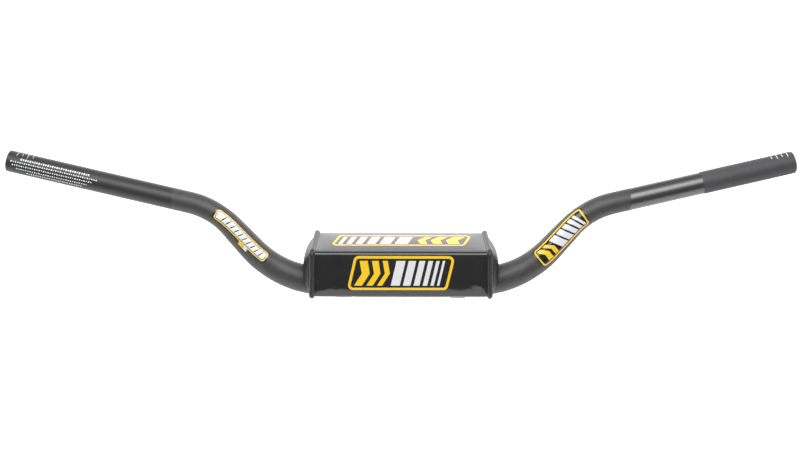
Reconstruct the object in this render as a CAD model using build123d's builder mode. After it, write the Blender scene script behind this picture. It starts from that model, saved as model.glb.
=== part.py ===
from build123d import *
import os

# Motocross handlebar: a tapered aluminium tube without a crossbar, and the foam pad strapped over
# its clamp section. All sizes are in millimetres.
#
# The frame: the origin is the middle of the clamp section, on the tube's axis. +X runs along the
# bar, +Y points back to the rider and +Z points up. The bar is the same on both sides of X = 0.

# Bends: the corners of the tube's centreline before they are rounded, and the bar's end
bar_width = 800.0
bar_height = 107.7
bar_sweep = 59.0
inner_corner_x = 119.7
outer_corner_x = 187.9
outer_corner_y = 15.0
outer_corner_z = 73.4
inner_bend_radius = 102.5
outer_bend_radius = 75.7

# Tube
clamp_diameter = 28.6
grip_diameter = 22.2
clamp_wall = 5.0
grip_wall = 4.0
end_chamfer = 0.8
bore_chamfer = 0.5

# The taper: each pair is a share of the length from the clamp section to the grip section, and
# the share of the step from the clamp's diameter down to the grip's that is done by there
taper = ((0.0, 0.0), (0.18, 0.0), (0.35, 0.24), (0.46, 0.3), (0.62, 0.55), (0.8, 0.94), (1.0, 1.0))

# Pad: its outside over the vinyl, with its top and bottom measured from the tube's axis
pad_depth = 56.0
pad_top = 43.1
pad_bottom = -5.6
pad_corner_radius = 4.0
pad_half_length = 89.3
pad_lean_back = 0.064
pad_lean_top = 0.02
crown_height = 8.8
crown_shoulder = 1.8
vinyl = 1.0
lining_gap = 0.1
panel_inset = 0.5

# Piping round each end of the pad
piping_diameter = 5.8
piping_inset = 0.3
piping_gap = 0.1

# Slot over the tube, and the pocket that leaves room for the handlebar clamps
slot_gap = 0.7
snug_gap = 0.3
snug_setback = 3.6
pocket_length = 95.0
pocket_depth = 46.0
pocket_top = 24.0
pocket_corner_radius = 5.0
hem_gap = 1.5

# Hook-and-loop straps round the tube
strap_setback = 32.0
strap_width = 15.5
strap_side_gap = 0.6
strap_gap = 0.15
strap_tab_top = 12.0
loop_tape = 1.0
hook_tape = 0.8
tape_gap = 0.05
loop_tape_turn = 155.0
hook_tape_turn = 125.0

# Decals: thin film on the front of each riser
film = 0.2
film_gap = 0.05
film_tilt = 22.0
film_corner_radius = 2.5
left_film_length = 76.0
left_film_width = 13.0
right_film_length = 79.0
right_film_width = 19.0

clamp_radius = clamp_diameter / 2
grip_radius = grip_diameter / 2
half_depth = pad_depth / 2
pad_height = pad_top - pad_bottom
pad_middle = (pad_top + pad_bottom) / 2
slot_radius = clamp_radius + slot_gap
pad_reach = pad_half_length + 2 * crown_height
strap_x = pad_half_length - strap_setback
hook_radius = slot_radius + loop_tape + tape_gap + hook_tape / 2
recess_back = slot_radius + loop_tape + strap_gap
recess_front = hook_radius + hook_tape / 2 + strap_gap

# The right half of the tube's centreline, and distances along it: where the clamp section ends,
# where the grip section starts and the middle of the riser between the two bends
with BuildLine() as half_line:
    FilletPolyline(
        (0, 0, 0),
        (inner_corner_x, 0, 0),
        (outer_corner_x, outer_corner_y, outer_corner_z),
        (bar_width / 2, bar_sweep, bar_height),
        radius=(inner_bend_radius, outer_bend_radius),
    )
centreline = half_line.wire()
straights = half_line.edges().filter_by(GeomType.LINE).sort_by(Axis.X)
clamp_end = straights[0].length
grip_length = straights[-1].length
grip_start = centreline.length - grip_length
inner_bend = half_line.edges().filter_by(GeomType.CIRCLE).sort_by(Axis.X)[0]
riser_middle = clamp_end + inner_bend.length + straights[1].length / 2
snug_start = clamp_end + snug_setback


def plane_at(distance):
    """The plane across the tube at a distance along its centreline."""
    point = centreline.position_at(distance, PositionMode.LENGTH)
    direction = centreline.tangent_at(distance, PositionMode.LENGTH)
    return Plane(origin=point, x_dir=(0, 1, 0), z_dir=direction)


def tapered(distance, at_clamp, at_grip):
    """A radius along the tube, which goes from at_clamp to at_grip as the taper does."""
    share = (distance - clamp_end) / (grip_start - clamp_end)
    for (start, done), (end, done_after) in zip(taper, taper[1:]):
        if share <= end + 1e-9:
            step = done + (done_after - done) * (share - start) / (end - start)
            return at_clamp + (at_grip - at_clamp) * step
    return at_grip


def bent_rod(at_clamp, at_grip, start, end, sections=24):
    """A solid rod round the centreline from start to end, with the tube's taper."""
    with BuildPart() as rod:
        for number in range(sections + 1):
            distance = start + (end - start) * number / sections
            with BuildSketch(plane_at(distance)):
                Circle(tapered(distance, at_clamp, at_grip))
        loft()
    return rod.part


def half_rod(at_clamp, at_grip):
    """The right half of a rod along the whole bar: straight, bent and tapered, straight."""
    with BuildPart() as rod:
        with BuildSketch(Plane.YZ):
            Circle(at_clamp)
        extrude(amount=clamp_end)
        add(bent_rod(at_clamp, at_grip, clamp_end, grip_start))
        with BuildSketch(plane_at(grip_start)):
            Circle(at_grip)
        extrude(amount=grip_length)
    return rod.part


# Handlebar tube: drawn with a thicker wall at the clamps, tapered, then bent twice on each side
with BuildPart() as handlebar_tube:
    add(half_rod(clamp_radius, grip_radius))
    add(half_rod(clamp_radius - clamp_wall, grip_radius - grip_wall), mode=Mode.SUBTRACT)
    end_edges = handlebar_tube.edges().filter_by(GeomType.CIRCLE).sort_by(Axis.X)[-2:]
    bore_edge, outer_edge = end_edges.sort_by(SortBy.RADIUS)
    chamfer(outer_edge, length=end_chamfer)
    chamfer(bore_edge, length=bore_chamfer)
    mirror(about=Plane.YZ)
handlebar_tube.part.label = "handlebar_tube"


def end_x(y, z):
    """How far out the plane of the pad's end seam lies at a depth and a height."""
    return pad_half_length - pad_lean_back * (y + half_depth) - pad_lean_top * (z - pad_bottom)


# The plane of the right end seam, with its normal pointing outwards
seam_plane = Plane(
    origin=(end_x(0, pad_middle), 0, pad_middle), z_dir=(1, pad_lean_back, pad_lean_top)
)


def crown_face():
    """The domed inside of the right end panel: a Bezier patch over the pad's whole outline."""
    middle = (1 - crown_shoulder / 2) / 0.375
    swell = (0, crown_shoulder, middle, crown_shoulder, 0)
    steps = (-1, -0.5, 0, 0.5, 1)
    rows = []
    for across, swell_y in zip(steps, swell):
        y = across * half_depth
        row = []
        for up, swell_z in zip(steps, swell):
            z = pad_middle + up * pad_height / 2
            row.append((end_x(y, z) + crown_height * swell_y * swell_z, y, z))
        rows.append(row)
    return Face.make_bezier_surface(rows)


def pad_outline(inset, mode=Mode.ADD):
    """The pad's rounded outline, seen along the bar, inset all round."""
    with Locations((0, pad_middle)):
        RectangleRounded(
            pad_depth - 2 * inset, pad_height - 2 * inset, pad_corner_radius - inset, mode=mode
        )


def piping_part(diameter, hem):
    """Cord round the right end's seam, from one side of the slot round to the other."""
    side = half_depth - piping_inset
    top = pad_top - piping_inset
    bottom = pad_bottom + piping_inset
    route = [(-hem, bottom), (-side, bottom), (-side, top), (side, top), (side, bottom), (hem, bottom)]
    with BuildPart() as piping:
        with BuildLine() as seam:
            FilletPolyline(
                *[(end_x(y, z), y, z) for y, z in route],
                radius=pad_corner_radius - piping_inset,
            )
        with BuildSketch(Plane(origin=seam.wire() @ 0, z_dir=seam.wire() % 0)):
            Circle(diameter / 2)
        sweep()
    return piping.part


def bottom_opening():
    """What is left out of the pad for the tube, the handlebar clamps and the straps."""
    with BuildPart() as cut:
        with BuildSketch(Plane.YZ):
            Circle(slot_radius)
            with Locations((0, -slot_radius)):
                Rectangle(2 * slot_radius, 2 * slot_radius)
        extrude(amount=snug_start)
        with BuildSketch(Plane.YZ):
            with Locations((0, -slot_radius)):
                Rectangle(2 * slot_radius, 2 * slot_radius)
        extrude(amount=pad_reach)
        add(
            bent_rod(
                clamp_radius + snug_gap,
                grip_radius + snug_gap,
                clamp_end,
                clamp_end + pad_reach - snug_start,
                sections=6,
            )
        )
        with BuildSketch(Plane.XY.offset(strap_tab_top + strap_gap)):
            with Locations((strap_x, (recess_back - recess_front) / 2)):
                Rectangle(strap_width + 2 * strap_side_gap, recess_front + recess_back)
        extrude(amount=-pad_height)
        mirror(about=Plane.YZ)
        with BuildSketch(Plane.XY.offset(pocket_top)):
            RectangleRounded(pocket_length, pocket_depth, pocket_corner_radius)
        extrude(amount=-pad_height)
    return cut.part


opening = bottom_opening()
piping_groove = piping_part(piping_diameter + 2 * piping_gap, hem=clamp_radius)

# Pad foam: one moulded block with domed ends, open below for the tube, the clamps and the straps
with BuildPart() as pad_foam:
    with BuildSketch(Plane.YZ):
        pad_outline(vinyl + lining_gap)
    extrude(amount=pad_reach)
    extrude(crown_face(), amount=pad_reach, dir=(1, 0, 0), mode=Mode.SUBTRACT)
    add(piping_groove, mode=Mode.SUBTRACT)
    mirror(about=Plane.YZ)
    add(opening, mode=Mode.SUBTRACT)
pad_foam.part.label = "pad_foam"

# Pad cover: one vinyl panel round the front, top and back, turned under at the bottom
with BuildPart() as pad_cover:
    with BuildSketch(Plane.YZ):
        pad_outline(0)
        pad_outline(vinyl, mode=Mode.SUBTRACT)
    extrude(amount=pad_reach)
    split(bisect_by=seam_plane, keep=Keep.BOTTOM)
    add(piping_groove, mode=Mode.SUBTRACT)
    mirror(about=Plane.YZ)
    add(opening, mode=Mode.SUBTRACT)
pad_cover.part.label = "pad_cover"

# End panels: padded vinyl, domed over the foam's ends and slotted for the tube
with BuildPart() as pad_end_right:
    with Locations((lining_gap, 0, 0)):
        extrude(crown_face(), amount=vinyl, dir=(1, 0, 0))
    with BuildSketch(Plane.YZ):
        pad_outline(panel_inset)
    extrude(amount=pad_reach + vinyl, mode=Mode.INTERSECT)
    add(piping_groove, mode=Mode.SUBTRACT)
    add(opening, mode=Mode.SUBTRACT)
pad_end_right.part.label = "pad_end_right"

with BuildPart() as pad_end_left:
    add(pad_end_right.part.mirror(Plane.YZ))
pad_end_left.part.label = "pad_end_left"

# Piping: the cord sewn into the seam between the cover and each end panel
with BuildPart() as piping_right:
    add(piping_part(piping_diameter, hem=slot_radius + hem_gap))
piping_right.part.label = "piping_right"

with BuildPart() as piping_left:
    add(piping_right.part.mirror(Plane.YZ))
piping_left.part.label = "piping_left"


def strap_tape(x, radius, thickness, start_angle, turn):
    """One tape of a strap: a tab down the slot's wall that turns on under the tube."""
    side = 1 if start_angle == 0 else -1
    with BuildPart() as tape:
        with BuildSketch(Plane.YZ.offset(x)):
            with BuildLine():
                Line((side * radius, strap_tab_top), (side * radius, 0))
                CenterArc((0, 0), radius, start_angle, -side * turn)
            trace(line_width=thickness)
        extrude(amount=strap_width / 2, both=True)
    return tape.part


# Straps: a loop tape sewn to the back of the slot, and a hook tape from its front that closes on it
straps = []
for side, name in ((-1, "left"), (1, "right")):
    with BuildPart() as strap_loop:
        add(strap_tape(side * strap_x, slot_radius + loop_tape / 2, loop_tape, 0, loop_tape_turn))
    strap_loop.part.label = "strap_loop_" + name
    with BuildPart() as strap_hook:
        add(strap_tape(side * strap_x, hook_radius, hook_tape, 180, hook_tape_turn))
    strap_hook.part.label = "strap_hook_" + name
    straps += [strap_loop.part, strap_hook.part]


def decal_film(length, width):
    """Film on the front of the right riser, centred on the riser's middle."""
    start = riser_middle - length / 2
    end = riser_middle + length / 2
    span = [start + length * step / 4 for step in range(5)]
    view = Plane(
        origin=centreline.position_at(span[2], PositionMode.LENGTH),
        x_dir=(1, 0, 0),
        z_dir=Vector(0, -1, 0).rotate(Axis.X, -film_tilt),
    )
    over, under = film_gap + film, film_gap
    with BuildPart() as decal:
        add(bent_rod(clamp_radius + over, grip_radius + over, start - width, end + width))
        add(
            bent_rod(clamp_radius + under, grip_radius + under, start - width, end + width),
            mode=Mode.SUBTRACT,
        )
        with BuildSketch(view) as outline:
            with BuildLine():
                points = [centreline.position_at(at, PositionMode.LENGTH) for at in span]
                flat = [view.to_local_coords(point) for point in points]
                Spline(*[(point.X, point.Y) for point in flat])
            trace(line_width=width)
            fillet(outline.vertices(), radius=film_corner_radius)
        extrude(amount=clamp_diameter, mode=Mode.INTERSECT)
    return decal.part


# Decals: printed film wrapped over the front of each riser
with BuildPart() as decal_right:
    add(decal_film(right_film_length, right_film_width))
decal_right.part.label = "decal_right"

with BuildPart() as decal_left:
    add(decal_film(left_film_length, left_film_width).mirror(Plane.YZ))
decal_left.part.label = "decal_left"

pieces = [
    handlebar_tube.part,
    pad_foam.part,
    pad_cover.part,
    pad_end_left.part,
    pad_end_right.part,
    piping_left.part,
    piping_right.part,
    decal_left.part,
    decal_right.part,
] + straps

os.makedirs("parts", exist_ok=True)
for piece in pieces:
    export_step(piece, f"parts/{piece.label}.step")
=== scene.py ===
"""Motocross handlebar and its bar pad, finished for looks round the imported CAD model.

Metres, in the frame of the CAD: the origin is the middle of the clamp section, +X runs along the
bar, +Y points back to the rider and +Z points up.
"""

from functools import partial
from math import cos, exp, pi, radians, sin, sqrt, tan

import bpy
from mathutils import Matrix, Vector
from mathutils.bvhtree import BVHTree


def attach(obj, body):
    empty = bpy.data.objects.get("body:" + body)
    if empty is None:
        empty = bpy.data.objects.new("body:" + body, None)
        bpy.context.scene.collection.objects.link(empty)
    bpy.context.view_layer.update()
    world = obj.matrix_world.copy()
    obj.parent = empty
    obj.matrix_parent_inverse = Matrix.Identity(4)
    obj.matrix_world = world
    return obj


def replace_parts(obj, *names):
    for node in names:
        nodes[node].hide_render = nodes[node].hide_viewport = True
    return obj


bl_info = {
    "name": "Motocross Handlebar",
    "version": (1, 0, 0),
    "blender": (4, 5, 0),
    "location": "3D View > Sidebar > Handlebar",
    "description": "Builds the looks of a tapered motocross handlebar and its bar pad",
    "category": "Object",
}

MM = 0.001
CAMERA_TILT = 22

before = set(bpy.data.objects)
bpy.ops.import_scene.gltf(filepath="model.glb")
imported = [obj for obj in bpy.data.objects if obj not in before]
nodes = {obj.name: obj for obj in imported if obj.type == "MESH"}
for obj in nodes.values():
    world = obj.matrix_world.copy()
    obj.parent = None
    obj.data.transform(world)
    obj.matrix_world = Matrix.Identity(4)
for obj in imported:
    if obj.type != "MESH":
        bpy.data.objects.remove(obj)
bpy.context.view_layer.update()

# The tube, as in the CAD: corners of the centreline before they are rounded, and its taper
INNER_CORNER = Vector((119.7, 0, 0)) * MM
OUTER_CORNER = Vector((187.9, 15.0, 73.4)) * MM
BAR_END = Vector((400.0, 59.0, 107.7)) * MM
BEND_RADII = (102.5 * MM, 75.7 * MM)
CLAMP_RADIUS = 14.3 * MM
GRIP_RADIUS = 11.1 * MM
TAPER = ((0, 0), (0.18, 0), (0.35, 0.24), (0.46, 0.3), (0.62, 0.55), (0.8, 0.94), (1, 1))
PEENED_END = 230.5 * MM
KNURL_START = 303.5 * MM

# The pad, as in the CAD: its outside over the vinyl
HALF_DEPTH = 28.0 * MM
PAD_TOP = 43.1 * MM
PAD_BOTTOM = -5.6 * MM
PAD_CORNER = 4.0 * MM
PAD_HALF_LENGTH = 89.3 * MM
LEAN_BACK = 0.064
LEAN_TOP = 0.02
CROWN = 8.8 * MM
CROWN_SHOULDER = 1.8
VINYL = 1.0 * MM
SLOT_HALF = 15.0 * MM
POCKET_HALF_LENGTH = 47.5 * MM
POCKET_HALF_DEPTH = 23.0 * MM
STRAP_X = 57.3 * MM
STRAP_HALF_GAP = 8.35 * MM
STRAP_RECESS = 17.0 * MM

# What the scene alone gives the pad: its belly, its droop and the sheet's drawn thickness
BELLY = 1.8 * MM
DROOP = 0.8 * MM
SHEET = 0.9 * MM


def srgb(value):
    """A hex colour such as "1f2022" as linear red, green, blue and alpha."""
    channels = [int(value[i : i + 2], 16) / 255 for i in (0, 2, 4)]
    linear = [c / 12.92 if c <= 0.04045 else ((c + 0.055) / 1.055) ** 2.4 for c in channels]
    return (*linear, 1.0)


def fill(node, inputs):
    """Links each named input of a node to a socket, or sets it to a value."""
    for key, value in inputs.items():
        if isinstance(value, bpy.types.NodeSocket):
            node.id_data.links.new(value, node.inputs[key])
        else:
            node.inputs[key].default_value = value


COLOUR = {"out": 2, "data_type": "RGBA"}


def configure(thing, settings):
    """Sets several properties of a thing, and returns the thing."""
    for name, value in settings.items():
        setattr(thing, name, value)
    return thing


def add_node(tree, kind, inputs=None, out=None, **settings):
    """Adds one node to a tree with its settings and inputs, and returns it, or one of its outputs.
    The kind is given without its prefix."""
    prefix = next(p for p in ("ShaderNode", "GeometryNode", "Node") if hasattr(bpy.types, p + kind))
    node = configure(tree.nodes.new(prefix + kind), settings)
    fill(node, inputs or {})
    return node if out is None else node.outputs[out]


def new_material(name, constants=None):
    """A new material as the function that adds to its nodes, and its Principled shader, whose
    constants are set on its own sockets."""
    material = bpy.data.materials.new(name)
    material.use_nodes = True
    material.node_tree.nodes.clear()
    add = partial(add_node, material.node_tree)
    shader = add("BsdfPrincipled", constants)
    add("OutputMaterial", {"Surface": shader.outputs[0]})
    return add, shader


# The tube's line


def rounded(before, corner, after, radius):
    """A corner's arc: the points where it starts and ends, its turn, and the way along and inward."""
    along, onward = (corner - before).normalized(), (after - corner).normalized()
    turn = along.angle(onward)
    reach = radius * tan(turn / 2)
    inward = (onward - along * along.dot(onward)).normalized()
    return corner - along * reach, corner + onward * reach, turn, along, inward


def on_arc(start, along, inward, radius, turn):
    """The point and the direction a turn after the start of an arc."""
    point = start + along * radius * sin(turn) + inward * radius * (1 - cos(turn))
    return point, along * cos(turn) + inward * sin(turn)


def bar_runs():
    """The right half of the centreline, as straight runs and arcs in order."""
    corners = [Vector((0, 0, 0)), INNER_CORNER, OUTER_CORNER, BAR_END]
    runs, start = [], corners[0]
    for *points, radius in zip(corners, corners[1:], corners[2:], BEND_RADII):
        arc_start, arc_end, turn, along, inward = rounded(*points, radius)
        runs.append(((arc_start - start).length, start, along, None, 0))
        runs.append((turn * radius, arc_start, along, inward, radius))
        start = arc_end
    runs.append(((BAR_END - start).length, start, (BAR_END - start).normalized(), None, 0))
    return runs


RUNS = bar_runs()
CLAMP_END = RUNS[0][0]
GRIP_START = sum(run[0] for run in RUNS[:-1])
RISER_MIDDLE = RUNS[0][0] + RUNS[1][0] + RUNS[2][0] / 2
GRIP_AXIS = RUNS[-1][2]


def bar_at(distance):
    """The centreline's point and direction at a distance from the middle."""
    for length, start, along, inward, radius in RUNS:
        if distance <= length or along is GRIP_AXIS:
            break
        distance -= length
    if inward is None:
        return start + along * distance, along
    return on_arc(start, along, inward, radius, distance / radius)


def share_between(value, low, high):
    """How far a value has come from a low one to a high one, from 0 to 1."""
    return min(max((value - low) / (high - low), 0), 1)


def tube_radius(distance):
    """The tube's outside radius at a distance along the centreline."""
    share = share_between(distance, CLAMP_END, GRIP_START)
    for (start, done), (end, done_after) in zip(TAPER, TAPER[1:]):
        if share <= end:
            step = done + (done_after - done) * (share - start) / (end - start)
            return CLAMP_RADIUS + (GRIP_RADIUS - CLAMP_RADIUS) * step
    return GRIP_RADIUS


# Meshes


def new_object(name, data):
    """A new object in the scene."""
    obj = bpy.data.objects.new(name, data)
    bpy.context.scene.collection.objects.link(obj)
    return obj


def repaint(obj, material):
    """Gives an object one material in place of those it has."""
    obj.data.materials.clear()
    obj.data.materials.append(material)


def mesh_object(name, points, faces, material, uvs=None):
    """A smooth mesh object at the origin, with one material and maybe a UV for each point."""
    mesh = bpy.data.meshes.new(name)
    mesh.from_pydata([tuple(p) for p in points], [], faces)
    if uvs:
        layer = mesh.uv_layers.new(name="Flat")
        for loop in mesh.loops:
            layer.data[loop.index].uv = uvs[loop.vertex_index]
    mesh.shade_smooth()
    mesh.materials.append(material)
    return new_object(name, mesh)


def grid_faces(rows, columns, closed=False):
    """Quads over a grid of points that is stored row by row, closed along its rows or not."""
    faces = []
    for r in range(rows - 1):
        for c in range(columns if closed else columns - 1):
            n = (c + 1) % columns
            near, far = r * columns, (r + 1) * columns
            faces.append((near + c, near + n, far + n, far + c))
    return faces


def as_piece(obj):
    """Makes the object ride on the part's one body."""
    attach(obj, "root")
    return obj


def add_modifiers(obj, *modifiers):
    """Adds modifiers in order, each given as its name, its kind and its settings."""
    for name, kind, settings in modifiers:
        configure(obj.modifiers.new(name, kind), settings)


def made_plain(obj):
    """Turns what an object's modifiers make into its plain mesh."""
    depsgraph = bpy.context.evaluated_depsgraph_get()
    mesh = bpy.data.meshes.new_from_object(obj.evaluated_get(depsgraph), depsgraph=depsgraph)
    obj.modifiers.clear()
    obj.data = mesh
    return obj


def puff_out(obj, held, most, pressure):
    """Swells a panel as cloth that is held along its seams, and keeps the shape it takes.

    No point moves further than about the given distance, because foam fills the pad.
    """
    group = obj.vertex_groups.new(name="Seams")
    group.add(held, 1.0, "REPLACE")
    cloth = obj.modifiers.new("Cloth", "CLOTH").settings
    settings = {
        "quality": 5,
        "mass": 0.001,
        "tension_stiffness": 8,
        "compression_stiffness": 8,
        "bending_stiffness": 0.3,
        "use_pressure": True,
        "uniform_pressure_force": pressure,
        "vertex_group_mass": group.name,
    }
    configure(cloth, settings).effector_weights.gravity = 0
    scene = bpy.context.scene
    for number in range(1, 21):
        scene.frame_set(number)
    depsgraph = bpy.context.evaluated_depsgraph_get()
    swollen = [v.co.copy() for v in obj.evaluated_get(depsgraph).data.vertices]
    obj.modifiers.clear()
    scene.frame_set(1)
    steps = [place - vertex.co for vertex, place in zip(obj.data.vertices, swollen)]
    furthest = max(step.length for step in steps)
    print(f"{obj.name}: the cloth swelled by up to {furthest / MM:.2f} mm")
    for vertex, step in zip(obj.data.vertices, steps):
        vertex.co += step * min(most / furthest, 1.0)


# Finishes


def peened_aluminium():
    """Black hard-anodised aluminium tube: shot-peened over the middle, which scatters the light in
    fine dimples, and smooth satin outboard of the masked line, where controls and grips slide on."""
    add, shader = new_material("black_anodised_peened_aluminium")
    place = add("TexCoord", out="Object")
    along = add("SeparateXYZ", {0: place}, "X")
    reach = add("Math", {0: along}, 0, operation="ABSOLUTE")
    # The clutch side's smooth part is smoother than the throttle side's, with less roughness and more
    # metal, and its colour is painted lighter: a painted highlight for the brighter reflection along that
    # end
    edge = {"From Min": PEENED_END - 0.7 * MM, "From Max": PEENED_END + 0.7 * MM}
    polish_and_painted_highlight, smooth = [
        add("MapRange", {"Value": value, **edge}, 0, interpolation_type="SMOOTHSTEP")
        for value in (along, reach)
    ]
    # Peening dimples are about 0.4 mm across, and are drawn at 0.9 mm so that they show
    dimples = add("TexVoronoi", {"Vector": place, "Scale": 1100.0}, "Distance", feature="SMOOTH_F1")
    noise = {"Vector": place, "Scale": 160.0, "Detail": 4.0, "Roughness": 0.6}
    drawn = add("TexNoise", noise, "Fac")
    satin = add("Mix", {0: smooth, 6: srgb("464647"), 7: srgb("383839")}, **COLOUR)
    # On the clutch end's smooth part the colour goes to the lighter 666667: a painted highlight
    colour = add("Mix", {0: polish_and_painted_highlight, 6: satin, 7: srgb("666667")}, **COLOUR)
    veil = add("Mix", {0: smooth, 2: drawn, 3: 0.3}, 0)
    shade = add("Mix", {0: veil, 6: colour, 7: srgb("323232")}, **COLOUR)
    even, bare, depth = [
        add("MapRange", {"Value": smooth, "To Min": peened, "To Max": satin_smooth}, 0)
        for peened, satin_smooth in ((0.5, 0.44), (0.35, 0.5), (0.5, 0.03))
    ]
    rough = add("Mix", {0: polish_and_painted_highlight, 2: even, 3: 0.34}, 0)
    metal = add("Mix", {0: polish_and_painted_highlight, 2: bare, 3: 0.9}, 0)
    bump = add("Bump", {"Height": dimples, "Strength": depth, "Distance": 0.0001}, 0)
    fill(shader, {"Base Color": shade, "Roughness": rough, "Metallic": metal, "Normal": bump})


def knurled_aluminium():
    """The same anodised aluminium, rolled with a fine diamond knurl that keeps a grip from turning.
    Its facets break up every reflection, so that it looks matt and even."""
    constants = {"Metallic": 0.35, "Roughness": 0.6}
    add, shader = new_material("black_anodised_knurled_aluminium", constants)
    place = add("TexCoord", out="Object")
    worn = add("TexNoise", {"Vector": place, "Scale": 320.0, "Detail": 3.0}, "Fac")
    colour = add("Mix", {0: worn, 6: srgb("48484a"), 7: srgb("383839")}, **COLOUR)
    fill(shader, {"Base Color": colour})


def coated_vinyl(name="black_calendered_vinyl", light="272728", roughness=0.11, grain=0.05, specular=0.5):
    """PVC-coated cloth with a shallow leather grain: calendered glossy, it is nearly black where it
    faces the eye, with a soft wide sheen where it turns away, and matt where it was left rougher."""
    add, shader = new_material(name, {"Roughness": roughness, "Specular IOR Level": specular})
    place = add("TexCoord", out="Object")
    # The grain's cells are about 0.7 mm across
    texture = {"Vector": place, "Scale": 1400.0}
    cells = add("TexVoronoi", texture, "Distance", feature="DISTANCE_TO_EDGE")
    waves = add("TexNoise", {"Vector": place, "Scale": 70.0, "Detail": 3.0}, "Fac")
    colour = add("Mix", {0: waves, 6: srgb(light), 7: srgb("1c1c1c")}, **COLOUR)
    fine = add("Bump", {"Height": cells, "Strength": grain, "Distance": 0.00008}, 0)
    swell = {"Height": waves, "Strength": 0.12, "Distance": 0.0004, "Normal": fine}
    fill(shader, {"Base Color": colour, "Normal": add("Bump", swell, 0)})


def moulded_foam():
    """Closed-cell polyethylene foam, moulded: a dull charcoal skin with fine open pits, painted darker
    towards the bottom of each pit as painted shade.
    """
    add, shader = new_material("charcoal_moulded_foam", {"Roughness": 0.85})
    place = add("TexCoord", out="Object")
    pits = add("TexVoronoi", {"Vector": place, "Scale": 800.0}, "Distance")
    # The colour darkens where the bump sinks each pit: painted shade in the pits
    colour = add("Mix", {0: pits, 6: srgb("1d1d1e"), 7: srgb("37383a")}, **COLOUR)
    bump = add("Bump", {"Height": pits, "Strength": 0.6, "Distance": 0.0004}, 0)
    fill(shader, {"Base Color": colour, "Normal": bump})


def woven_tape(name, light, dark, thread):
    """Woven nylon tape: a dull black weave with a faint sheen on the threads' crowns."""
    sheen = {"Roughness": 0.75, "Sheen Weight": 0.25, "Sheen Roughness": 0.4}
    add, shader = new_material(name, sheen)
    threads = {
        "Vector": add("TexCoord", out="UV"),
        "Color1": srgb(light),
        "Color2": srgb(dark),
        "Mortar": srgb("0c0c0d"),
        "Scale": 1.0,
        "Mortar Size": thread * 0.12,
        "Mortar Smooth": 0.6,
        "Brick Width": thread * 2,
        "Row Height": thread,
    }
    weave = add("TexBrick", threads).outputs
    relief = {"Height": weave["Fac"], "Strength": 0.6, "Distance": 0.0002}
    bump = add("Bump", relief, 0, invert=True)
    fill(shader, {"Base Color": weave["Color"], "Normal": bump})


def print_ink(name, colour, roughness=0.35, metallic=0.0):
    """Screen-printed ink, laid on thick: an even colour with the screen's faint mottling."""
    add, shader = new_material(name, {"Roughness": roughness, "Metallic": metallic})
    place = add("TexCoord", out="Object")
    mottle = add("TexNoise", {"Vector": place, "Scale": 900.0, "Detail": 2.0}, "Fac")
    thick, thin = [(*[part * share for part in colour[:3]], 1.0) for share in (1.0, 0.86)]
    shade = add("Mix", {0: mottle, 6: thick, 7: thin}, **COLOUR)
    fill(shader, {"Base Color": shade})


def finishes():
    """Every finish of the object, made once and found again by name."""
    if "black_calendered_vinyl" not in bpy.data.materials:
        peened_aluminium()
        knurled_aluminium()
        coated_vinyl()
        coated_vinyl("black_vinyl_piping", light="1b1c1d", roughness=0.44, grain=0.08)
        coated_vinyl("black_matt_vinyl", light="222223", roughness=0.4, grain=0.08, specular=0.22)
        moulded_foam()
        woven_tape("black_loop_tape", "262628", "1a1a1b", 0.5 * MM)
        woven_tape("black_hook_tape", "222224", "161617", 0.7 * MM)
        woven_tape("black_sewing_thread", "303033", "252527", 0.2 * MM)
        look = bpy.context.scene.handlebar_look
        print_ink("yellow_screen_print", look.print_colour)
        print_ink("silver_screen_print", look.second_print_colour, roughness=0.4)
        print_ink("clear_satin_film", srgb("414142"), roughness=0.5, metallic=0.35)
        print_ink("navy_gloss_film", srgb("171a24"), roughness=0.16)
        print_ink("white_gloss_film", srgb("e9e9e6"), roughness=0.16)
        print_ink("gold_screen_print", srgb("d9b23a"), roughness=0.3)
        print_ink("white_pad_print", srgb("e4e5e6"), roughness=0.5)
    return bpy.data.materials


# The stage


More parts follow.
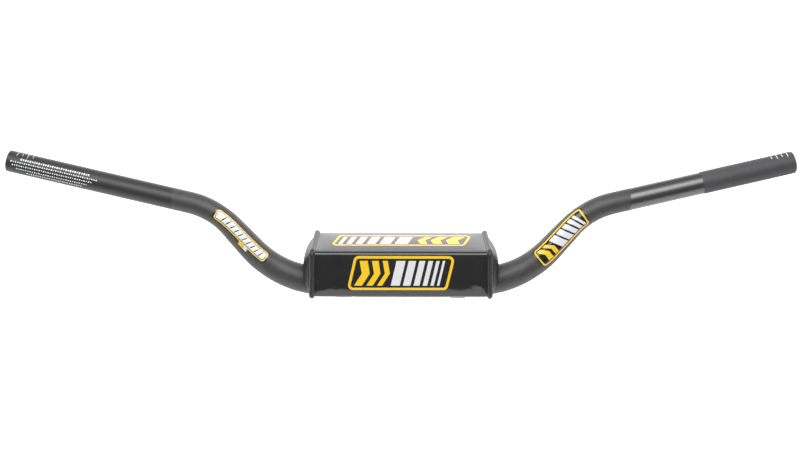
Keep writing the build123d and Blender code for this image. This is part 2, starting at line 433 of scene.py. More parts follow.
class HANDLEBAR_OT_stage(bpy.types.Operator):
    """Makes the pale floor, the soft studio light and the camera"""

    bl_idname = "handlebar.stage"
    bl_label = "Stage"

    def execute(self, context):
        scene = context.scene
        scene.view_settings.view_transform = "Standard"
        paper = {"Base Color": srgb("f4f4f4"), "Roughness": 0.9}
        glow = {"Emission Color": srgb("ffffff"), "Emission Strength": 0.25}
        new_material("matt_white_paper", paper | glow)
        front, back, side, level = -0.54, 7.0, 6.0, -0.35
        corners = [(-side, front, level), (side, front, level), (side, back, level), (-side, back, level)]
        floor = mesh_object("floor", corners, [(0, 1, 2, 3)], bpy.data.materials["matt_white_paper"])

        world = bpy.data.worlds.new("studio")
        scene.world = world
        world.use_nodes = True
        world.node_tree.nodes.clear()
        add = partial(add_node, world.node_tree)
        toward = add("SeparateXYZ", {0: add("TexCoord", out="Generated")}).outputs
        # The backdrop is brightest low down; the room in front is dark and brightens upwards
        behind, below_top, backdrop, room = [
            add(
                "MapRange",
                {"Value": toward[axis], "From Min": a, "From Max": b, "To Min": low, "To Max": high},
                0,
                interpolation_type=way,
            )
            for axis, a, b, low, high, way in (
                ("Y", -0.1, 0.3, 0.0, 1.0, "SMOOTHSTEP"),
                ("Z", 0.6, 0.76, 1.0, 0.0, "SMOOTHSTEP"),
                ("Z", 0.12, 0.58, 3.6, 1.7, "LINEAR"),
                ("Z", -0.4, 0.55, 0.12, 0.35, "LINEAR"),
            )
        ]
        around = add("Mix", {0: behind, 2: room, 3: backdrop}, 0)
        strength = add("Mix", {0: below_top, 2: 0.5, 3: around}, 0)
        seen = add("LightPath", out="Is Camera Ray")
        strength = add("Mix", {0: seen, 2: strength, 3: 1.0}, 0)
        background = add("Background", {"Color": (1, 1, 1, 1), "Strength": strength}, 0)
        add("OutputWorld", {"Surface": background})

        for name, place, aim, size, power, mirrored in (
            ("front_softbox", (0.0, -1.05, 1.45), (0, 0, 0.03), (2.4, 1.2), 50, True),
            ("top_bank", (0.0, 0.9, 2.2), (0, 0.3, 0), (3.0, 1.0), 50, False),
        ):
            light = bpy.data.lights.new(name, "AREA")
            light.shape = "RECTANGLE"
            light.size, light.size_y = size
            light.energy = power
            lamp = new_object(name, light)
            lamp.location = place
            lamp.visible_glossy = mirrored
            lamp.rotation_euler = (Vector(aim) - Vector(place)).to_track_quat("-Z", "Y").to_euler()

        camera = bpy.data.cameras.new("camera")
        camera.sensor_width = 36.0
        camera.lens = 88.875
        scene.camera = new_object("camera", camera)
        # Turned a tenth of a degree about its own axis, as the bar's two ends show
        scene.camera.matrix_world = (
            Matrix.Translation((-0.00101, -1.83301, 0.80207))
            @ Matrix.Rotation(radians(90 - CAMERA_TILT), 4, "X")
            @ Matrix.Rotation(radians(0.11), 4, "Z")
        )
        return {"FINISHED"}


# The bar


def grip_frame(side):
    """The frame of a control section: X out along its axis from the bar's middle, Z up."""
    axis = Vector((side * GRIP_AXIS.x, GRIP_AXIS.y, GRIP_AXIS.z))
    end = Vector((side * BAR_END.x, BAR_END.y, BAR_END.z))
    back = Vector((0, 0, 1)).cross(axis).normalized()
    matrix = Matrix((axis, back, axis.cross(back))).transposed().to_4x4()
    matrix.translation = end
    return matrix


def node_object(name, tree, inputs, seed_points=((0, 0, 0),), seed_edges=()):
    """An object whose mesh a Geometry Nodes tree makes, turned into a plain mesh."""
    mesh = bpy.data.meshes.new(name)
    mesh.from_pydata(seed_points, seed_edges, [])
    obj = new_object(name, mesh)
    modifier = obj.modifiers.new("Nodes", "NODES")
    modifier.node_group = tree
    for item in tree.interface.items_tree:
        if item.in_out == "INPUT" and item.name in inputs:
            modifier[item.identifier] = inputs[item.name]
    made_plain(obj).data.shade_smooth()
    return obj


# Sums are rows of a result's name, a Math operation and its terms. A term is a number or the name of
# a known socket, and every result is known to the rows after it.


def sums_round(radius):
    """The sums that give Y and Z round the X axis, from the known angle and a radius's name."""
    return (
        ("sine", "SINE", "angle"),
        ("cosine", "COSINE", "angle"),
        ("Y", "MULTIPLY", "sine", radius),
        ("Z", "MULTIPLY", "cosine", radius),
    )


def terms_of(known, terms):
    """The inputs of a Math node for the terms of a sum."""
    return {i: known.get(term, term) for i, term in enumerate(terms)}


def move_points(add, known, geometry):
    """Moves a geometry's points to the known X, Y and Z."""
    target = add("CombineXYZ", {axis: known[axis] for axis in "XYZ"}, 0)
    return add("SetPosition", {"Geometry": geometry, "Position": target}, 0)


def new_tree(name, inputs):
    """A Geometry Nodes tree as the function that adds to its nodes, and its known sockets by name:
    Geometry and the named numbers, which start at their defaults."""
    tree = bpy.data.node_groups.new(name, "GeometryNodeTree")
    for way in ("INPUT", "OUTPUT"):
        tree.interface.new_socket("Geometry", in_out=way, socket_type="NodeSocketGeometry")
    for label, default in inputs.items():
        kind = "NodeSocketInt" if isinstance(default, int) else "NodeSocketFloat"
        tree.interface.new_socket(label, in_out="INPUT", socket_type=kind).default_value = default
    add = partial(add_node, tree)
    return add, dict(add("GroupInput").outputs.items())


def close_tree(add, geometry, material):
    """Ends a tree in Realize Instances and Set Material, and returns it."""
    real = add("RealizeInstances", {0: geometry}, 0)
    painted = add("SetMaterial", {0: real, "Material": material}, 0)
    return add("GroupOutput", {0: painted}).id_data


def knurl_tree(material):
    """A knurled sleeve along X that ends at the origin: diamonds rolled round a tube."""
    defaults = {"Length": 92 * MM, "Radius": GRIP_RADIUS, "Height": 0.3 * MM}
    add, known = new_tree("Diamond Knurl", defaults | {"Diamonds Along": 58, "Diamonds Round": 44})
    place = add("SeparateXYZ", {0: add("InputPosition", out=0)}).outputs
    # The knurl runs out over its last few millimetres at both ends
    from_end = add("Math", {0: place["X"]}, 0, operation="ABSOLUTE")
    run_out = {"Value": from_end, "From Min": 0.475, "From Max": 0.5, "To Min": 1.0, "To Max": 0.0}
    known |= {"along": place["X"], "round": place["Y"], "fade": add("MapRange", run_out, 0)}
    for result, operation, *terms in (
        ("rows", "MULTIPLY_ADD", "Diamonds Along", 4.0, 1.0),
        ("columns", "MULTIPLY_ADD", "Diamonds Round", 4.0, 1.0),
        ("far", "MULTIPLY", "along", "Diamonds Along"),
        ("wide", "MULTIPLY", "round", "Diamonds Round"),
        ("sum", "ADD", "far", "wide"),
        ("difference", "SUBTRACT", "far", "wide"),
        ("one way", "PINGPONG", "sum", 0.5),
        ("other way", "PINGPONG", "difference", 0.5),
        ("peak", "MINIMUM", "one way", "other way"),
        ("proud", "MULTIPLY_ADD", "peak", 2.0, 0.5),
        ("faded", "MULTIPLY", "proud", "fade"),
        ("surface", "MULTIPLY_ADD", "faded", "Height", "Radius"),
        ("angle", "MULTIPLY", "round", 2 * pi),
        ("out", "SUBTRACT", "along", 0.5),
        ("X", "MULTIPLY", "out", "Length"),
        *sums_round("surface"),
    ):
        known[result] = add("Math", terms_of(known, terms), 0, operation=operation)
    size = {"Size X": 1.0, "Size Y": 1.0, "Vertices X": known["rows"], "Vertices Y": known["columns"]}
    sleeve = move_points(add, known, add("MeshGrid", size, 0))
    joined = add("MergeByDistance", {0: sleeve, "Distance": 0.01 * MM}, 0)
    return close_tree(add, joined, material)


def marks_tree(material):
    """Marks printed round a tube along X: strips that lie on its surface, every second one short."""
    sizes = {"Spacing": 5 * MM, "Inset": 10 * MM, "Width": 0.8 * MM, "Radius": GRIP_RADIUS}
    shares = {"Count": 4, "Turn": 1.0, "Short Share": 0.6, "Middle": 0.0}
    add, known = new_tree("Graduation Marks", sizes | shares)
    size = {"Size X": known["Width"], "Size Y": known["Turn"], "Vertices X": 2, "Vertices Y": 13}
    strip = add("MeshGrid", size, 0)
    step, inset = [add("CombineXYZ", {"X": known[name]}, 0) for name in ("Spacing", "Inset")]
    line = {"Count": known["Count"], "Start Location": inset, "Offset": step}
    row = add("MeshLine", line, 0, mode="OFFSET")
    place = add("SeparateXYZ", {0: add("InputPosition", out=0)}).outputs
    known |= {"index": add("InputIndex", out=0), "X": place["X"], "round": place["Y"]}
    bend = (("odd", "MODULO", "index", 2.0), ("angle", "ADD", "round", "Middle"), *sums_round("Radius"))
    for result, operation, *terms in bend:
        known[result] = add("Math", terms_of(known, terms), 0, operation=operation)
    shorter = {"Value": known["odd"], "To Min": 1.0, "To Max": known["Short Share"]}
    scale = add("CombineXYZ", {"X": 1.0, "Y": add("MapRange", shorter, 0), "Z": 1.0}, 0)
    spread = {"Points": row, "Instance": strip, "Scale": scale}
    marks = add("InstanceOnPoints", spread, 0)
    flat = add("RealizeInstances", {0: marks}, 0)
    return close_tree(add, move_points(add, known, flat), material)


def stitches_tree(material):
    """Lockstitches along the edges of a line: short threads laid end to end, sunk at their ends."""
    add, given = new_tree("Lockstitches", {"Pitch": 3 * MM, "Thread": 0.5 * MM})
    line = add("MeshToCurve", {0: given["Geometry"]}, 0)
    along = {"Curve": line, "Length": given["Pitch"]}
    spaced = add("CurveToPoints", along, mode="LENGTH").outputs
    half = add("Math", {0: given["Pitch"], 1: 0.41}, 0, operation="MULTIPLY")
    scale = add("CombineXYZ", {"X": given["Thread"], "Y": given["Thread"], "Z": half}, 0)
    ball = {"Segments": 6, "Rings": 5, "Radius": 1.0}
    thread = add("MeshUVSphere", ball, 0)
    laid = {name: spaced[name] for name in ("Points", "Rotation")}
    threads = add("InstanceOnPoints", laid | {"Instance": thread, "Scale": scale}, 0)
    return close_tree(add, threads, material)


class HANDLEBAR_OT_bar(bpy.types.Operator):
    """Finishes the tube: peened and smooth zones, the clutch end's knurl and the printed marks"""

    bl_idname = "handlebar.bar"
    bl_label = "Bar"

    def execute(self, context):
        look = context.scene.handlebar_look
        paint = finishes()
        repaint(nodes["handlebar_tube"], paint["black_anodised_peened_aluminium"])

        chamfer = 1.2 * MM
        knurl = knurl_tree(paint["black_anodised_knurled_aluminium"])
        length = (BAR_END.x - KNURL_START) / GRIP_AXIS.x - chamfer
        sizes = {"Length": length, "Height": look.knurl_height}
        sleeve = node_object("clutch_end_knurl", knurl, sizes)
        sleeve.data.transform(grip_frame(1) @ Matrix.Translation((-chamfer, 0, 0)))
        as_piece(sleeve)

        # Four marks at each end, and on the throttle end a plain fine scale: rows of short marks
        # along the bar's front
        ink = 0.06 * MM
        on_tube = GRIP_RADIUS + ink
        on_knurl = GRIP_RADIUS + look.knurl_height * 1.5 + ink
        rows = [
            ("clutch_end_marks", 1, on_knurl, -12, 7.0, 4, 5.6, 0.55, 0.62, 0.6),
            ("throttle_end_marks", -1, on_tube, 12, 10.0, 4, 5.6, 0.35, 0.62, 0.6),
        ]
        turns = (0.19, 0.12, 0.12, 0.11, 0.11)
        fine = zip((46, 64, 81, 99, 117), (16, 6, 8, 13, 24), (31, 39, 36, 32, 25), turns)
        for row, (angle, inset, count, turn) in enumerate(fine):
            name = f"throttle_end_scale_{row + 1}"
            rows.append((name, -1, on_tube, angle, inset, count, 2.4, 1.3, turn, 0.7))
        marks = marks_tree(paint["white_pad_print"])
        for name, side, radius, angle, inset, count, spacing, width, turn, short in rows:
            sizes = {"Radius": radius, "Width": width * MM}
            sizes |= {"Inset": -inset * MM, "Spacing": -spacing * MM}
            shares = {"Count": count, "Turn": turn, "Short Share": short, "Middle": radians(angle)}
            ticks = node_object(name, marks, sizes | shares)
            ticks.data.transform(grip_frame(side))
            if side < 0:
                ticks.data.flip_normals()
            as_piece(ticks)
        return {"FINISHED"}


# The pad


def end_x(y, z):
    """How far out the plane of the pad's end seam lies at a depth and a height."""
    return PAD_HALF_LENGTH - LEAN_BACK * (y + HALF_DEPTH) - LEAN_TOP * (z - PAD_BOTTOM)


def outline_runs(half, low, high, corner):
    """The lengths of a rounded box's corner, side, roof and whole outline without its floor."""
    arc, side, roof = corner * pi / 2, high - low - 2 * corner, 2 * (half - corner)
    return arc, side, roof, 4 * arc + 2 * side + roof


PAD_BOX = (HALF_DEPTH, PAD_BOTTOM, PAD_TOP, PAD_CORNER)
ARC, SIDE, ROOF, OUTLINE = outline_runs(*PAD_BOX)
SLACK = 0.1 * MM


def box_outline(run, box):
    """A rounded box's outline at a distance along it, from under its front edge over the top to the
    back. Before 0 and past the end it runs on flat, as the hems do under the pad."""
    half, low, high, corner = box
    arc, side, roof, whole = outline_runs(*box)
    if run < 0:
        return -half + corner - run, low
    if run > whole:
        return half - corner - (run - whole), low
    mirror = run > whole / 2
    run = whole - run if mirror else run
    if run < arc:
        turn = run / corner
        y, z = -half + corner - corner * sin(turn), low + corner - corner * cos(turn)
    elif run < arc + side:
        y, z = -half, low + corner + run - arc
    elif run < 2 * arc + side:
        turn = (run - arc - side) / corner
        y, z = -half + corner - corner * cos(turn), high - corner + corner * sin(turn)
    else:
        y, z = -half + corner + run - 2 * arc - side, high
    return (-y if mirror else y), z


def hem_edge(x, back):
    """How far from the middle the cover's hem ends under the pad."""
    x = abs(x)
    if x < POCKET_HALF_LENGTH:
        return POCKET_HALF_DEPTH
    if abs(x - STRAP_X) < STRAP_HALF_GAP:
        return STRAP_RECESS - (0.85 * MM if back else 0)
    return SLOT_HALF


def crown(y, z):
    """How far the end panel domes out at a depth and a height, as a share of its crown."""
    share = 1.0
    for value, low, high in ((y, -HALF_DEPTH, HALF_DEPTH), (z, PAD_BOTTOM, PAD_TOP)):
        t = share_between(value, low, high)
        middle = (1 - CROWN_SHOULDER / 2) / 0.375
        both = t * (1 - t)
        share *= 4 * CROWN_SHOULDER * both * ((1 - t) ** 2 + t**2) + 6 * middle * both**2
    return share


def bow(x, y, z):
    """How far the foam's front and back belly out low down, with a pucker near each end seam."""
    up = share_between(z, PAD_BOTTOM, PAD_TOP)
    along = min(abs(x) / PAD_HALF_LENGTH, 1.0)
    # The fullest height wanders along the pad and rises near its right end
    fullest = 0.225 + 0.01 * sin(x * 70) + 0.008 * sin(x * 163 + 1)
    fullest += 0.12 * exp(-(((x - 75 * MM) / (13 * MM)) ** 2))
    rise = sin(pi / 2 * up / fullest) if up < fullest else 1 - (up - fullest) / (1 - fullest)
    out = BELLY * rise * (1 - along**14)
    for place, height, lift in ((-80 * MM, 3 * MM, 0.15 * MM), (78 * MM, 11 * MM, 0.45 * MM)):
        far, over = (x - place) / (6 * MM), (z - height) / (7 * MM)
        out += lift * exp(-(far**2) - over**2) * min(up * 8, 1)
    return -out if y < 0 else out


def droop(x, y, z):
    """How far the vinyl hangs under the foam along the pad's lower front and back edges."""
    low = 1 - min((z - PAD_BOTTOM) / (8 * MM), 1)
    outer = share_between(abs(y), SLOT_HALF, HALF_DEPTH - PAD_CORNER)
    return DROOP * low * outer * (1 - min(abs(x) / PAD_HALF_LENGTH, 1) ** 40)


VINYL_LAYERS = (
    ("Round", "SUBSURF", {"levels": 1, "render_levels": 1}),
    ("Vinyl", "SOLIDIFY", {"thickness": SHEET, "offset": -1.0}),
)


def pad_wrap(look, material):
    """The vinyl panel round the pad's front, top and back, turned under along both lower edges."""
    runs = [0.0]
    for length, count in ((ARC, 6), (SIDE, 17), (ARC, 6), (ROOF, 20), (ARC, 6), (SIDE, 17), (ARC, 6)):
        runs += [runs[-1] + length * (i + 1) / count for i in range(count)]
    # Columns stand close on both sides of each step in the hems, and evenly elsewhere
    shares = [
        round(side * (place + gap), 6) / PAD_HALF_LENGTH
        for place, near in (
            (POCKET_HALF_LENGTH, 0.4 * MM),
            (STRAP_X - STRAP_HALF_GAP, 0.3 * MM),
            (STRAP_X + STRAP_HALF_GAP, 0.3 * MM),
        )
        for gap in (-near, near)
        for side in (-1, 1)
    ]
    columns, apart = 68, 0.008
    even = [-1 + 2 * i / columns for i in range(columns + 1)]
    shares = sorted(shares + [s for s in even if min(abs(s - e) for e in shares) > apart])
    hem_rows = 5
    points, uvs = [], []
    for share in shares:
        edges = [hem_edge(share * PAD_HALF_LENGTH, at_back) for at_back in (False, True)]
        front, back = [
            [(HALF_DEPTH - PAD_CORNER - edge) * i / hem_rows for i in range(1, hem_rows + 1)]
            for edge in edges
        ]
        for run in [-hem for hem in front[::-1]] + runs + [OUTLINE + hem for hem in back]:
            y, z = box_outline(run, PAD_BOX)
            x = share * end_x(y, z)
            points.append(Vector((x, y + bow(x, y, z), z - droop(x, y, z))))
            uvs.append((x, run))
    across = len(runs) + 2 * hem_rows
    faces = [face[::-1] for face in grid_faces(len(shares), across)]
    wrap = mesh_object("pad_wrap", points, faces, material, uvs)
    held = []
    for i in range(len(points)):
        column, row = divmod(i, across)
        run = runs[min(max(row - hem_rows, 0), len(runs) - 1)]
        run = min(run, OUTLINE - run)
        over_edge = run < ARC - SLACK or ARC + SIDE + SLACK < run < 2 * ARC + SIDE - SLACK
        if column in (0, len(shares) - 1) or over_edge:
            held.append(i)
    puff_out(wrap, held, look.puff, 5.0)
    add_modifiers(wrap, *VINYL_LAYERS)
    return wrap


def end_panel(side, look, material):
    """A domed end panel in vinyl: a U that runs from the slot's edge out to the piping."""
    inset = 1.6 * MM
    low = PAD_BOTTOM + inset
    box = (HALF_DEPTH - inset, low, PAD_TOP - inset, PAD_CORNER - inset)
    tube_y, tube_z, ring = 0.5 * MM, 2.6 * MM, 15.1 * MM
    leg = tube_z - low
    inner_run, outer_run = 2 * leg + pi * ring, outline_runs(*box)[-1]

    def slot_edge(run):
        if run < leg:
            return Vector((tube_y - ring, low + run))
        if run > inner_run - leg:
            return Vector((tube_y + ring, low + inner_run - run))
        turn = pi - (run - leg) / ring
        return Vector((tube_y + ring * cos(turn), tube_z + ring * sin(turn)))

    around, out = 88, 14
    points, uvs, held = [], [], []
    for i in range(around + 1):
        near, far = slot_edge(inner_run * i / around), Vector(box_outline(outer_run * i / around, box))
        for j in range(out + 1):
            if i in (0, around) or j in (0, out):
                held.append(len(points))
            y, z = near.lerp(far, j / out)
            x = end_x(y, z) + (CROWN + look.puff) * crown(y, z) + (VINYL if j < out else 0)
            points.append(Vector((side * x, y, z)))
            uvs.append((y, z))
    faces = [face[::-side] for face in grid_faces(around + 1, out + 1)]
    name = "pad_end_panel_" + ("right" if side > 0 else "left")
    panel = mesh_object(name, points, faces, material, uvs)
    puff_out(panel, held, look.puff, 10.0)
    add_modifiers(panel, *VINYL_LAYERS)
    return panel


class HANDLEBAR_OT_pad(bpy.types.Operator):
    """Makes the foam core, the vinyl wrap swollen over it and the two domed end panels"""

    bl_idname = "handlebar.pad"
    bl_label = "Bar Pad"

    def execute(self, context):
        look = context.scene.handlebar_look
        paint = finishes()
        vinyl = paint["black_calendered_vinyl"]
        wrap = as_piece(pad_wrap(look, vinyl))
        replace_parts(wrap, "pad_cover")
        for side, node in ((-1, "pad_end_left"), (1, "pad_end_right")):
            panel = as_piece(end_panel(side, look, paint["black_matt_vinyl"]))
            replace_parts(panel, node)

        # The foam core: the CAD block's form with its edges softened as a mould leaves them
        core = new_object("foam_core", nodes["pad_foam"].data.copy())
        add_modifiers(
            core,
            ("Merge", "WELD", {"merge_threshold": 0.01 * MM}),
            ("Mould", "REMESH", {"mode": "VOXEL", "voxel_size": 2.0 * MM}),
            ("Soften", "SMOOTH", {"factor": 0.5, "iterations": 2}),
        )
        repaint(made_plain(core), paint["charcoal_moulded_foam"])
        core.data.shade_smooth()
        as_piece(core)
        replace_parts(core, "pad_foam")
        return {"FINISHED"}


# Piping, straps and stitches


def strap_band(name, x, radius, thickness, side, turn, material):
    """One tape of a strap: down the slot's wall from the foam and on under the tube."""
    width, tab = 15.5 * MM, 12.0 * MM
    down, round_steps = 6, 26
    path = [Vector((side * radius, tab * (1 - i / down))) for i in range(down)]
    normals = [Vector((side, 0))] * down
    for i in range(round_steps + 1):
        angle = radians((0 if side > 0 else 180) - side * turn * i / round_steps)
        normals.append(Vector((cos(angle), sin(angle))))
        path.append(normals[-1] * radius)
    # The tape's section: flat faces and round woven edges
    section, bulge = [], thickness / 2
    for edge in (1, -1):
        for k in range(5):
            angle = radians(90 - 45 * k) * edge
            across = edge * (width / 2 - bulge) + edge * bulge * cos(angle)
            section.append((across, bulge * sin(angle) * edge))
        section += [(edge * w * width / 2, -edge * bulge) for w in (0.8, 0.4, 0.0, -0.4, -0.8)]
    points, uvs, length = [], [], 0.0
    for i, (centre, normal) in enumerate(zip(path, normals)):
        length += (centre - path[i - 1]).length if i else 0
        for across, depth in section:
            points.append(Vector((x + across, *(centre + normal * depth))))
            uvs.append((across, length))
    count = len(section)
    faces = grid_faces(len(path), count, closed=True)
    faces += [tuple(range(count)), tuple(reversed(range(len(points) - count, len(points))))]
    return mesh_object(name, points, faces, material, uvs)


class HANDLEBAR_OT_trim(bpy.types.Operator):
    """Makes the piping's finish, the hook-and-loop straps and the hems' stitches"""

    bl_idname = "handlebar.trim"
    bl_label = "Piping, Straps and Stitches"

    def execute(self, context):
        look = context.scene.handlebar_look
        paint = finishes()
        for name in ("piping_left", "piping_right"):
            repaint(nodes[name], paint["black_vinyl_piping"])

        # The left strap is drawn tighter round the bar
        loop_radius, hook_radius = 15.0 * MM, 15.95 * MM
        for side, hand, slack in ((-1, "left", 0.0), (1, "right", 0.5 * MM)):
            x, name = side * STRAP_X, "strap_loop_tape_" + hand
            loop = strap_band(name, x, loop_radius + slack, 1.0 * MM, 1, 155, paint["black_loop_tape"])
            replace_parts(as_piece(loop), "strap_loop_" + hand)
            name = "strap_hook_tape_" + hand
            hook = strap_band(name, x, hook_radius + slack, 0.8 * MM, -1, 125, paint["black_hook_tape"])
            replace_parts(as_piece(hook), "strap_hook_" + hand)

        # Seams: along both hems beside the pocket, and near each end
        pocket, near, far = POCKET_HALF_LENGTH - 3 * MM, 68 * MM, 82 * MM
        middle_y, end_y = 24.6 * MM, 17.6 * MM
        points = []
        for start, end, y in ((-pocket, pocket, middle_y), (near, far, end_y), (-far, -near, end_y)):
            level = PAD_BOTTOM - droop(start, y, PAD_BOTTOM) - 0.15 * MM
            for back in (-1, 1):
                points += [(start, back * y, level), (end, back * y, level)]
        edges = [(i, i + 1) for i in range(0, len(points), 2)]
        sizes = {"Pitch": look.stitch_pitch, "Thread": 0.35 * MM}
        tree = stitches_tree(paint["black_sewing_thread"])
        as_piece(node_object("hem_stitches", tree, sizes, points, edges))
        return {"FINISHED"}


# Prints and films


def rounded_loop(corners, radius, steps=6):
    """Points round a closed polygon whose corners are rounded, with the direction at each."""
    loop = []
    for before, corner, after in zip(corners[-1:] + corners[:-1], corners, corners[1:] + corners[:1]):
        start, end, turn, along, inward = rounded(before, corner, after, radius)
        loop += [on_arc(start, along, inward, radius, turn * k / steps) for k in range(steps + 1)]
    return loop


def band_shape(corners, radius, line, step):
    """A line printed round a polygon: the flat points and quads of a closed band."""
    loop = rounded_loop([Vector(c) for c in corners], radius)
    full = []
    for (point, direction), (next_point, next_direction) in zip(loop, loop[1:] + loop[:1]):
        full.append((point, direction))
        count = int((next_point - point).length / step)
        for share in [k / count for k in range(1, count)]:
            between = direction.lerp(next_direction, share).normalized()
            full.append((point.lerp(next_point, share), between))
    points = [
        point + Vector((-direction.y, direction.x)) * line * across
        for across in (-0.5, 0.0, 0.5)
        for point, direction in full
    ]
    return points, grid_faces(3, len(full), closed=True)


def patch_shape(corners, step):
    """A four-cornered patch of print, divided into small quads."""
    a, b, c, d = [Vector(p) for p in corners]
    along = max(2, int(max((b - a).length, (c - d).length) / step) + 1)
    across = max(2, int(max((d - a).length, (c - b).length) / step) + 1)
    points = []
    for j in range(across + 1):
        for i in range(along + 1):
            points.append(a.lerp(b, i / along).lerp(d.lerp(c, i / along), j / across))
    return points, grid_faces(across + 1, along + 1)


def join_shapes(shapes):
    """Several flat shapes as one list of points and one of faces."""
    points, faces = [], []
    for some, quads in shapes:
        faces += [tuple(i + len(points) for i in quad) for quad in quads]
        points += some
    return points, faces


def leaning_box(left, right, half, slant=0.0):
    """The corners of a flat box of a half height, whose sides lean by the slant."""
    return [(x + slant * y, y) for x, y in ((left, -half), (right, -half), (right, half), (left, half))]


def chevron(x, width, half, slant, step, reach):
    """Two leaning bars that meet in a point at mid-height."""
    tip, shapes = [(x + width + reach, 0), (x + reach, 0)], []
    for y in (-half, half):
        shapes.append(patch_shape([(x + slant * y, y), (x + width + slant * y, y)] + tip, step))
    return shapes


def bars(start, widths, gap, half, slant, step):
    """Leaning bars side by side."""
    shapes, x = [], start
    for width in widths:
        shapes.append(patch_shape(leaning_box(x, x + width, half, slant), step))
        x += width + gap
    return shapes


def lay_print(name, shapes, lay, material):
    """A print as a thin skin: each flat point goes where lay puts it, with faces that look out."""
    points, faces = join_shapes(shapes)
    placed = [lay(point) for point in points]
    obj = mesh_object(name, [spot for spot, normal in placed], faces, material)
    for polygon in obj.data.polygons:
        if polygon.normal.dot(placed[polygon.vertices[0]][1]) < 0:
            polygon.flip()
    obj.data.update()
    return as_piece(obj)


class HANDLEBAR_OT_prints(bpy.types.Operator):
    """Makes the plain bar-and-chevron prints on the pad's front and top"""

    bl_idname = "handlebar.prints"
    bl_label = "Pad Prints"

    def execute(self, context):
        paint = finishes()
        wrap = bpy.data.objects["pad_wrap"]
        skin = BVHTree.FromObject(wrap, bpy.context.evaluated_depsgraph_get())
        step = 2.2 * MM

        def onto_skin(guess, toward):
            place, normal, *_ = skin.ray_cast(Vector(guess), Vector(toward))
            return place + normal * 0.1 * MM, normal

        def onto_front(point):
            return onto_skin((point.x, -HALF_DEPTH - 3 * MM, point.y + 21.5 * MM), (0, 1, 0))

        def onto_top(point):
            return onto_skin((-point.x + 0.7 * MM, -point.y + 2.8 * MM, PAD_TOP + 5 * MM), (0, 0, -1))

        for area, lay, half_x, half_y, slant, scale, line in (
            ("front", onto_front, 52.4 * MM, 16.8 * MM, 0.22, 1.0, 2.7 * MM),
            ("top", onto_top, 69.5 * MM, 12.4 * MM, 0.3, 1.43, 2.1 * MM),
        ):
            reach = half_x - slant * half_y
            corners = leaning_box(-reach, reach, half_y, slant)
            yellow = [band_shape(corners, 4.0 * MM, line, step)]
            x, half = -half_x + 8.5 * MM, half_y - 3.6 * MM
            for width in (8.0, 6.5, 5.0):
                yellow += chevron(x, width * MM * scale, half, slant, step, 5 * MM)
                x += (width + 4.2) * MM * scale
            widths = [w * MM * scale for w in (9.0, 7.5, 6.0, 4.6, 3.4, 2.4)]
            silver = bars(x + 4.5 * MM * scale, widths, 3.1 * MM * scale, half, slant, step)
            for ink, shapes in (("yellow", yellow), ("silver", silver)):
                name = f"pad_{area}_print_{ink}"
                lay_print(name, shapes, lay, paint[ink + "_screen_print"])
        return {"FINISHED"}


VIEW = Vector((0, -cos(radians(CAMERA_TILT)), sin(radians(CAMERA_TILT))))


def onto_riser(side, lift):
    """A function that lays a flat point on the front of a riser: x along it, y across it."""

    def lay(point):
        distance = RISER_MIDDLE + point.x
        centre, along = bar_at(distance)
        radius = tube_radius(distance) + lift
        facing = (VIEW - along * VIEW.dot(along)).normalized()
        upward = along.cross(facing)
        turn = point.y / tube_radius(distance)
        normal = facing * cos(turn) + upward * sin(turn)
        spot = centre + normal * radius
        return Vector((side * spot.x, spot.y, spot.z)), Vector((side * normal.x, normal.y, normal.z))

    return lay


def film_shape(length, width, radius, step):
    """A film's flat outline with rounded corners, as a grid whose rows narrow at its ends."""
    half, rows = length / 2, 14
    stations = [-half + radius * (1 - cos(pi / 2 * k / 5)) for k in range(6)]
    count = int((length - 2 * radius) / step)
    stations += [-half + radius + (length - 2 * radius) * k / count for k in range(1, count)]
    stations += [-s for s in reversed(stations[:6])]
    points = []
    for x in stations:
        into = max(0.0, radius - (half - abs(x)))
        reach = width / 2 - radius + sqrt(max(radius * radius - into * into, 0.0))
        points += [Vector((x, reach * (2 * r / rows - 1))) for r in range(rows + 1)]
    return points, grid_faces(len(stations), rows + 1)


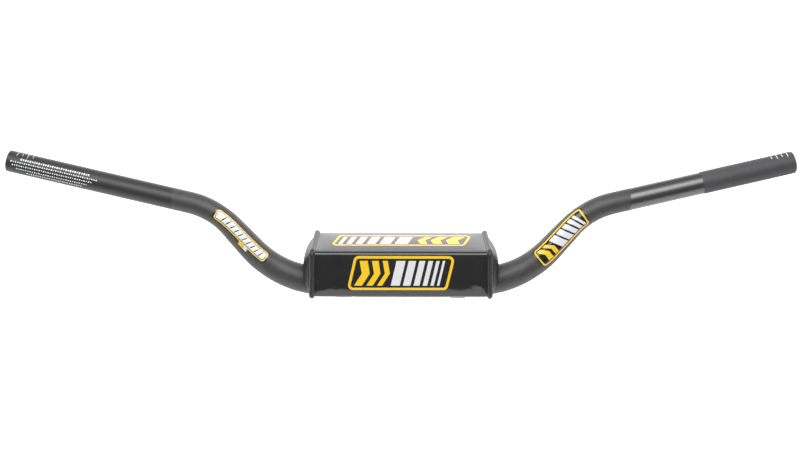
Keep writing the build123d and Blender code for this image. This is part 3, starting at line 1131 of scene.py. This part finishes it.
class HANDLEBAR_OT_films(bpy.types.Operator):
    """Makes the gloss films on the risers with their plain bar-and-chevron prints"""

    bl_idname = "handlebar.films"
    bl_label = "Riser Films"

    def execute(self, context):
        paint = finishes()
        step = 1.5 * MM
        for side, hand, length, width, shift in (
            (1, "right", 79 * MM, 21.4 * MM, Vector((1.9, 0)) * MM),
            (-1, "left", 76 * MM, 13.6 * MM, Vector((2.2, -1.9)) * MM),
        ):
            film = [film_shape(length, width, 2.5 * MM, step)]
            lay = onto_riser(side, 0.25 * MM)
            base = lay_print(f"riser_film_{hand}", film, lay, paint["clear_satin_film"])
            add_modifiers(base, ("Film", "SOLIDIFY", {"thickness": 0.18 * MM, "offset": -1.0}))
            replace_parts(base, "decal_" + hand)

            def ink(name, shapes, level, finish):
                """Lays one ink of the print, which sits a little off the film's middle."""
                onto = onto_riser(side, (0.29 + 0.04 * level) * MM)
                skew = 0.035 if side < 0 else 0

                def lay(point):
                    return onto(point + shift + Vector((0, skew * point.x)))

                lay_print(f"riser_print_{hand}_{name}", shapes, lay, paint[finish])

            x, y = (30.6 * MM, 9.2 * MM) if side > 0 else (33.2 * MM, 4.9 * MM)
            field = film_shape(2 * x + 4 * MM, 2 * y + 2.6 * MM, 3.2 * MM, step)
            ink("field", [field], 0, "navy_gloss_film")
            line = 1.6 * MM if side > 0 else 1.1 * MM
            outline = band_shape(leaning_box(-x, x, y), 2.2 * MM, line, step)
            half, slant = y - 2.0 * MM, 0.35
            if side > 0:
                yellow, start = [outline], -x + 4 * MM
                for w in (5.6, 4.4):
                    yellow += chevron(start, w * MM, half, slant, step, 3.4 * MM)
                    start += (w + 3.2) * MM
                widths = [w * MM for w in (8.0, 6.4, 5.2, 3.9, 2.8)]
                ink("yellow", yellow, 1, "yellow_screen_print")
                silver = bars(start + 2.4 * MM, widths, 1.9 * MM, half, slant, step)
                ink("silver", silver, 1, "silver_screen_print")
            else:
                ink("white", [film_shape(2 * x, 2 * y, 2.2 * MM, step)], 1, "white_gloss_film")
                ((tab, quads),) = bars(-8.0 * MM, [5.6 * MM], 0, 1.7 * MM, -slant, step)
                tab = [p + Vector((0, 7.0 * MM)) for p in tab]
                ink("gold", [outline, (tab, quads)], 2, "gold_screen_print")
                tab = [p - Vector((6.0 * MM, 0)) for p in tab]
                x, y = x - line, y - line
                silver = bars(-x + 7 * MM, [2.2 * MM] * 9, 3.4 * MM, half, slant, step)
                ink("silver", [(tab, quads)] + silver, 2, "silver_screen_print")
                inner = band_shape(leaning_box(-x, x, y), 1.4 * MM, 0.7 * MM, step)
                marks = [inner] + bars(-x + 5 * MM, [1.3 * MM] * 10, 4.3 * MM, half, slant, step)
                ink("navy", marks, 2, "navy_gloss_film")
        return {"FINISHED"}


# The add-on


IN_METRES = {"subtype": "DISTANCE", "unit": "LENGTH"}
AS_COLOUR = {"subtype": "COLOR", "size": 3, "min": 0.0, "max": 1.0}


class HandlebarLook(bpy.types.PropertyGroup):
    """Sizes that can be changed before the pieces are made."""

    puff: bpy.props.FloatProperty(
        name="Puff",
        description="How far the pad's vinyl may swell over its foam",
        default=1.2 * MM,
        min=0.0,
        max=5.0 * MM,
        **IN_METRES,
    )
    knurl_height: bpy.props.FloatProperty(
        name="Knurl Height",
        description="Height of the diamonds rolled into the clutch end",
        default=0.25 * MM,
        min=0.0,
        max=1.0 * MM,
        **IN_METRES,
    )
    print_colour: bpy.props.FloatVectorProperty(
        name="Print Colour",
        description="Ink of the borders and chevrons on the pad and the right riser",
        default=srgb("e2b91a")[:3],
        **AS_COLOUR,
    )
    second_print_colour: bpy.props.FloatVectorProperty(
        name="Second Print Colour",
        description="Ink of the bars on the pad and the risers",
        default=srgb("cdcecf")[:3],
        **AS_COLOUR,
    )
    stitch_pitch: bpy.props.FloatProperty(
        name="Stitch Pitch",
        description="Distance from one stitch of the hems to the next",
        default=3.2 * MM,
        min=1.0 * MM,
        max=8.0 * MM,
        **IN_METRES,
    )


class HANDLEBAR_PT_pieces(bpy.types.Panel):
    """Lists the handlebar's pieces and sizes"""

    bl_idname = "HANDLEBAR_PT_pieces"
    bl_label = "Motocross Handlebar"
    bl_space_type = "VIEW_3D"
    bl_region_type = "UI"
    bl_category = "Handlebar"

    def draw(self, context):
        look = context.scene.handlebar_look
        for name in ("puff", "knurl_height", "stitch_pitch", "print_colour", "second_print_colour"):
            self.layout.prop(look, name)
        for operator in OPERATORS:
            self.layout.operator(operator.bl_idname)


OPERATORS = (
    HANDLEBAR_OT_stage,
    HANDLEBAR_OT_bar,
    HANDLEBAR_OT_pad,
    HANDLEBAR_OT_trim,
    HANDLEBAR_OT_prints,
    HANDLEBAR_OT_films,
)
CLASSES = (HandlebarLook, *OPERATORS, HANDLEBAR_PT_pieces)


def register():
    for cls in CLASSES:
        bpy.utils.register_class(cls)
    bpy.types.Scene.handlebar_look = bpy.props.PointerProperty(type=HandlebarLook)


def unregister():
    del bpy.types.Scene.handlebar_look
    for cls in reversed(CLASSES):
        bpy.utils.unregister_class(cls)


def main():
    register()
    bpy.ops.handlebar.stage()
    bpy.ops.handlebar.bar()
    bpy.ops.handlebar.pad()
    bpy.ops.handlebar.trim()
    bpy.ops.handlebar.prints()
    bpy.ops.handlebar.films()


if __name__ == "__main__":
    main()
